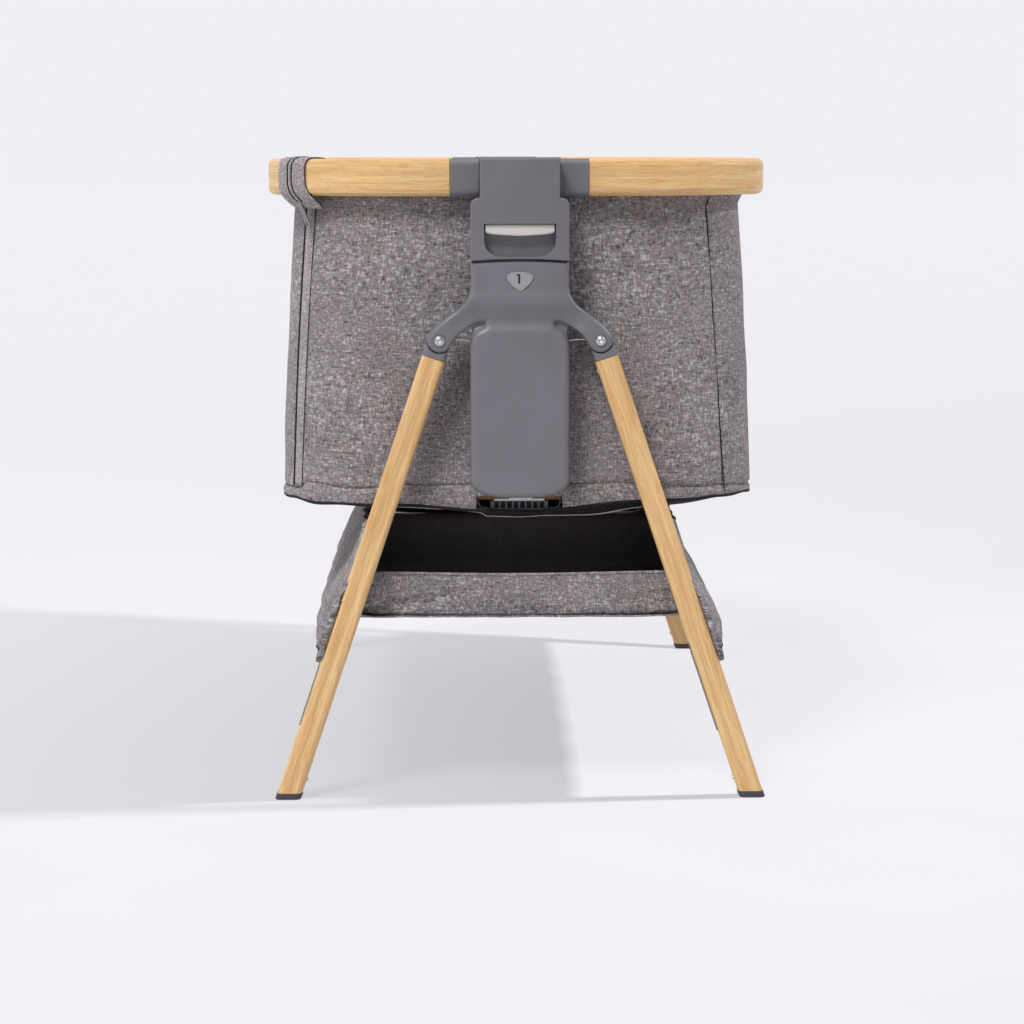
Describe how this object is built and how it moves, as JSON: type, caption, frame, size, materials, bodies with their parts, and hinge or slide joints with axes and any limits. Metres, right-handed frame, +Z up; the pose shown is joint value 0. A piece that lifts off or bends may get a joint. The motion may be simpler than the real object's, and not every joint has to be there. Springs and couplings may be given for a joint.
{
  "type": "bedside crib on folding stand",
  "caption": "Fabric bassinet hung in an oval ring rail, on two folding height-adjustable end frames with splayed legs and a fabric storage basket below.",
  "frame": {"origin": "on the floor, under the middle of the crib", "axes": "+X across the width, +Y along the length towards the far end, +Z up; the near end, with the zip at its left corner, is at -Y"},
  "size_m": [0.56, 0.93, 0.6925],
  "materials": {
    "oak_finish": "satin light oak foil over a formed tube",
    "grey_plastic": "fine matt texture",
    "light_plastic": "satin",
    "rubber": "matt",
    "steel": "bright plated",
    "melange_fabric": "grey-brown melange plain weave",
    "dark_fabric": "black non-woven",
    "board": "brown fibre board",
    "ticking": "quilted off-white knit"
  },
  "bodies": {
    "ring": {"rail_left": "oak_finish", "rail_right": "oak_finish", "near_left_sleeve": "grey_plastic", "near_right_sleeve": "grey_plastic", "far_left_sleeve": "grey_plastic", "far_right_sleeve": "grey_plastic", "bassinet_near_wall": "melange_fabric", "bassinet_far_wall": "melange_fabric", "bassinet_left_wall": "melange_fabric", "bassinet_right_wall": "melange_fabric", "zip_slider": "steel"},
    "floor": {"bassinet_floor_cloth": "dark_fabric", "floor_board": "board", "mattress": "ticking", "near_floor_guide": "grey_plastic", "far_floor_guide": "grey_plastic"},
    "zip_tab": {"zip_pull": "steel"},
    "near_head": {"near_head_cover": "grey_plastic", "near_hinge_axle": "steel", "near_slide_tube": "steel", "near_lever_spring": "steel"},
    "near_release": {"near_lever": "light_plastic"},
    "near_column": {"near_yoke": "grey_plastic", "near_column_cover": "grey_plastic", "near_column_back": "grey_plastic", "near_level_badge": "light_plastic", "basket_near_panel": "melange_fabric", "basket_far_panel": "melange_fabric", "basket_floor": "dark_fabric", "basket_left_side": "melange_fabric", "basket_right_side": "melange_fabric"},
    "near_left_leg": {"near_left_leg_knuckle": "grey_plastic", "near_left_leg_tube": "oak_finish", "near_left_leg_foot": "rubber", "near_left_leg_rivet": "steel"},
    "near_right_leg": {"near_right_leg_knuckle": "grey_plastic", "near_right_leg_tube": "oak_finish", "near_right_leg_foot": "rubber", "near_right_leg_rivet": "steel"},
    "far_head": {"far_head_cover": "grey_plastic", "far_hinge_axle": "steel", "far_slide_tube": "steel", "far_lever_spring": "steel"},
    "far_release": {"far_lever": "light_plastic"},
    "far_column": {"far_yoke": "grey_plastic", "far_column_cover": "grey_plastic", "far_column_back": "grey_plastic", "far_level_badge": "light_plastic"},
    "far_left_leg": {"far_left_leg_knuckle": "grey_plastic", "far_left_leg_tube": "oak_finish", "far_left_leg_foot": "rubber", "far_left_leg_rivet": "steel"},
    "far_right_leg": {"far_right_leg_knuckle": "grey_plastic", "far_right_leg_tube": "oak_finish", "far_right_leg_foot": "rubber", "far_right_leg_rivet": "steel"}
  },
  "joints": [
    {"name": "near_fold", "type": "hinge", "parent": "ring", "child": "near_head", "pos_m": [0, -0.419, 0.672], "axis": [1, 0, 0], "range_deg": [0, 90], "deforming": ["bassinet_near_wall", "bassinet_far_wall", "bassinet_left_wall", "bassinet_right_wall", "bassinet_floor_cloth", "floor_board", "mattress", "near_floor_guide", "far_floor_guide", "basket_near_panel", "basket_far_panel", "basket_floor", "basket_left_side", "basket_right_side"]},
    {"name": "far_fold", "type": "hinge", "parent": "ring", "child": "far_head", "pos_m": [0, 0.419, 0.672], "axis": [-1, 0, 0], "range_deg": [0, 75]},
    {"name": "floor_lift", "type": "slide", "parent": "ring", "child": "floor", "axis": [0, 0, 1], "range_m": [0, 0.3505]},
    {"name": "near_height", "type": "slide", "parent": "near_head", "child": "near_column", "axis": [0, 0, -1], "range_m": [0, 0.15]},
    {"name": "near_lever_squeeze", "type": "slide", "parent": "near_head", "child": "near_release", "axis": [0, 0, 1], "range_m": [0, 0.008], "stiffness_N_per_m": 300, "springref_m": -0.01, "deforming": ["near_lever_spring"]},
    {"name": "near_left_leg_swing", "type": "hinge", "parent": "near_column", "child": "near_left_leg", "pos_m": [-0.086, -0.4505, 0.4995], "axis": [0, -1, 0], "range_deg": [0, 18]},
    {"name": "near_right_leg_swing", "type": "hinge", "parent": "near_column", "child": "near_right_leg", "pos_m": [0.086, -0.4505, 0.4995], "axis": [0, 1, 0], "range_deg": [0, 18]},
    {"name": "far_height", "type": "slide", "parent": "far_head", "child": "far_column", "axis": [0, 0, -1], "range_m": [0, 0.15]},
    {"name": "far_lever_squeeze", "type": "slide", "parent": "far_head", "child": "far_release", "axis": [0, 0, 1], "range_m": [0, 0.008], "stiffness_N_per_m": 300, "springref_m": -0.01, "deforming": ["far_lever_spring"]},
    {"name": "far_left_leg_swing", "type": "hinge", "parent": "far_column", "child": "far_left_leg", "pos_m": [0.086, 0.4505, 0.4995], "axis": [0, 1, 0], "range_deg": [0, 18]},
    {"name": "far_right_leg_swing", "type": "hinge", "parent": "far_column", "child": "far_right_leg", "pos_m": [-0.086, 0.4505, 0.4995], "axis": [0, -1, 0], "range_deg": [0, 18]},
    {"name": "zip_pull_swing", "type": "hinge", "parent": "ring", "child": "zip_tab", "pos_m": [-0.24058, -0.35047, 0.64551], "axis": [-0.5417, 0.7792, -0.3153], "range_deg": [0, 120]}
  ],
  "couplings": [
    {"joint": "far_fold", "follows": "near_fold", "ratio": 0.8333},
    {"joint": "floor_lift", "follows": "near_fold", "m_per_rad": 0.223},
    {"joint": "far_height", "follows": "near_height", "ratio": 1}
  ]
}
